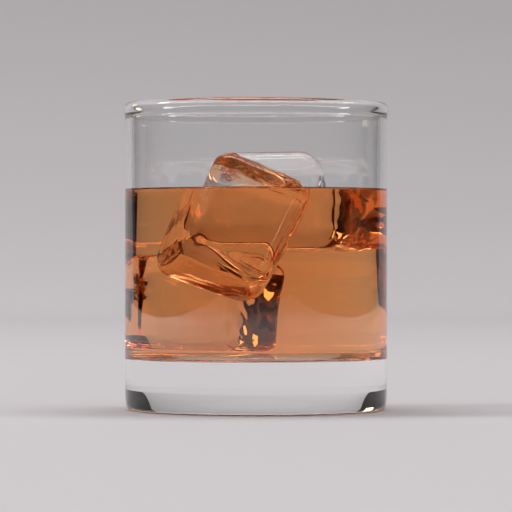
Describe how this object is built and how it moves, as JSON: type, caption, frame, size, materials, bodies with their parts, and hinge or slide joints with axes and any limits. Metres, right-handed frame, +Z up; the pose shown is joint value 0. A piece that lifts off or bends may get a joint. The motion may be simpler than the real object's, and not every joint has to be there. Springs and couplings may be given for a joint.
{
  "type": "whisky on the rocks",
  "caption": "Straight-sided rocks glass with a thick solid base, holding whisky to about two thirds of its height, with melting ice cubes standing out of it.",
  "frame": {"origin": "middle of the glass's underside", "axes": "+Z up along the glass's axis, -Y towards the viewer of the picture"},
  "size_m": [0.0808, 0.0808, 0.0932],
  "materials": {
    "glass": "clear, fire-polished",
    "whisky": "clear amber liquid",
    "ice": "clear wet ice"
  },
  "bodies": {
    "root": {"tumbler": "glass", "whisky": "whisky", "ice_front": "ice", "ice_back": "ice"}
  },
  "joints": []
}
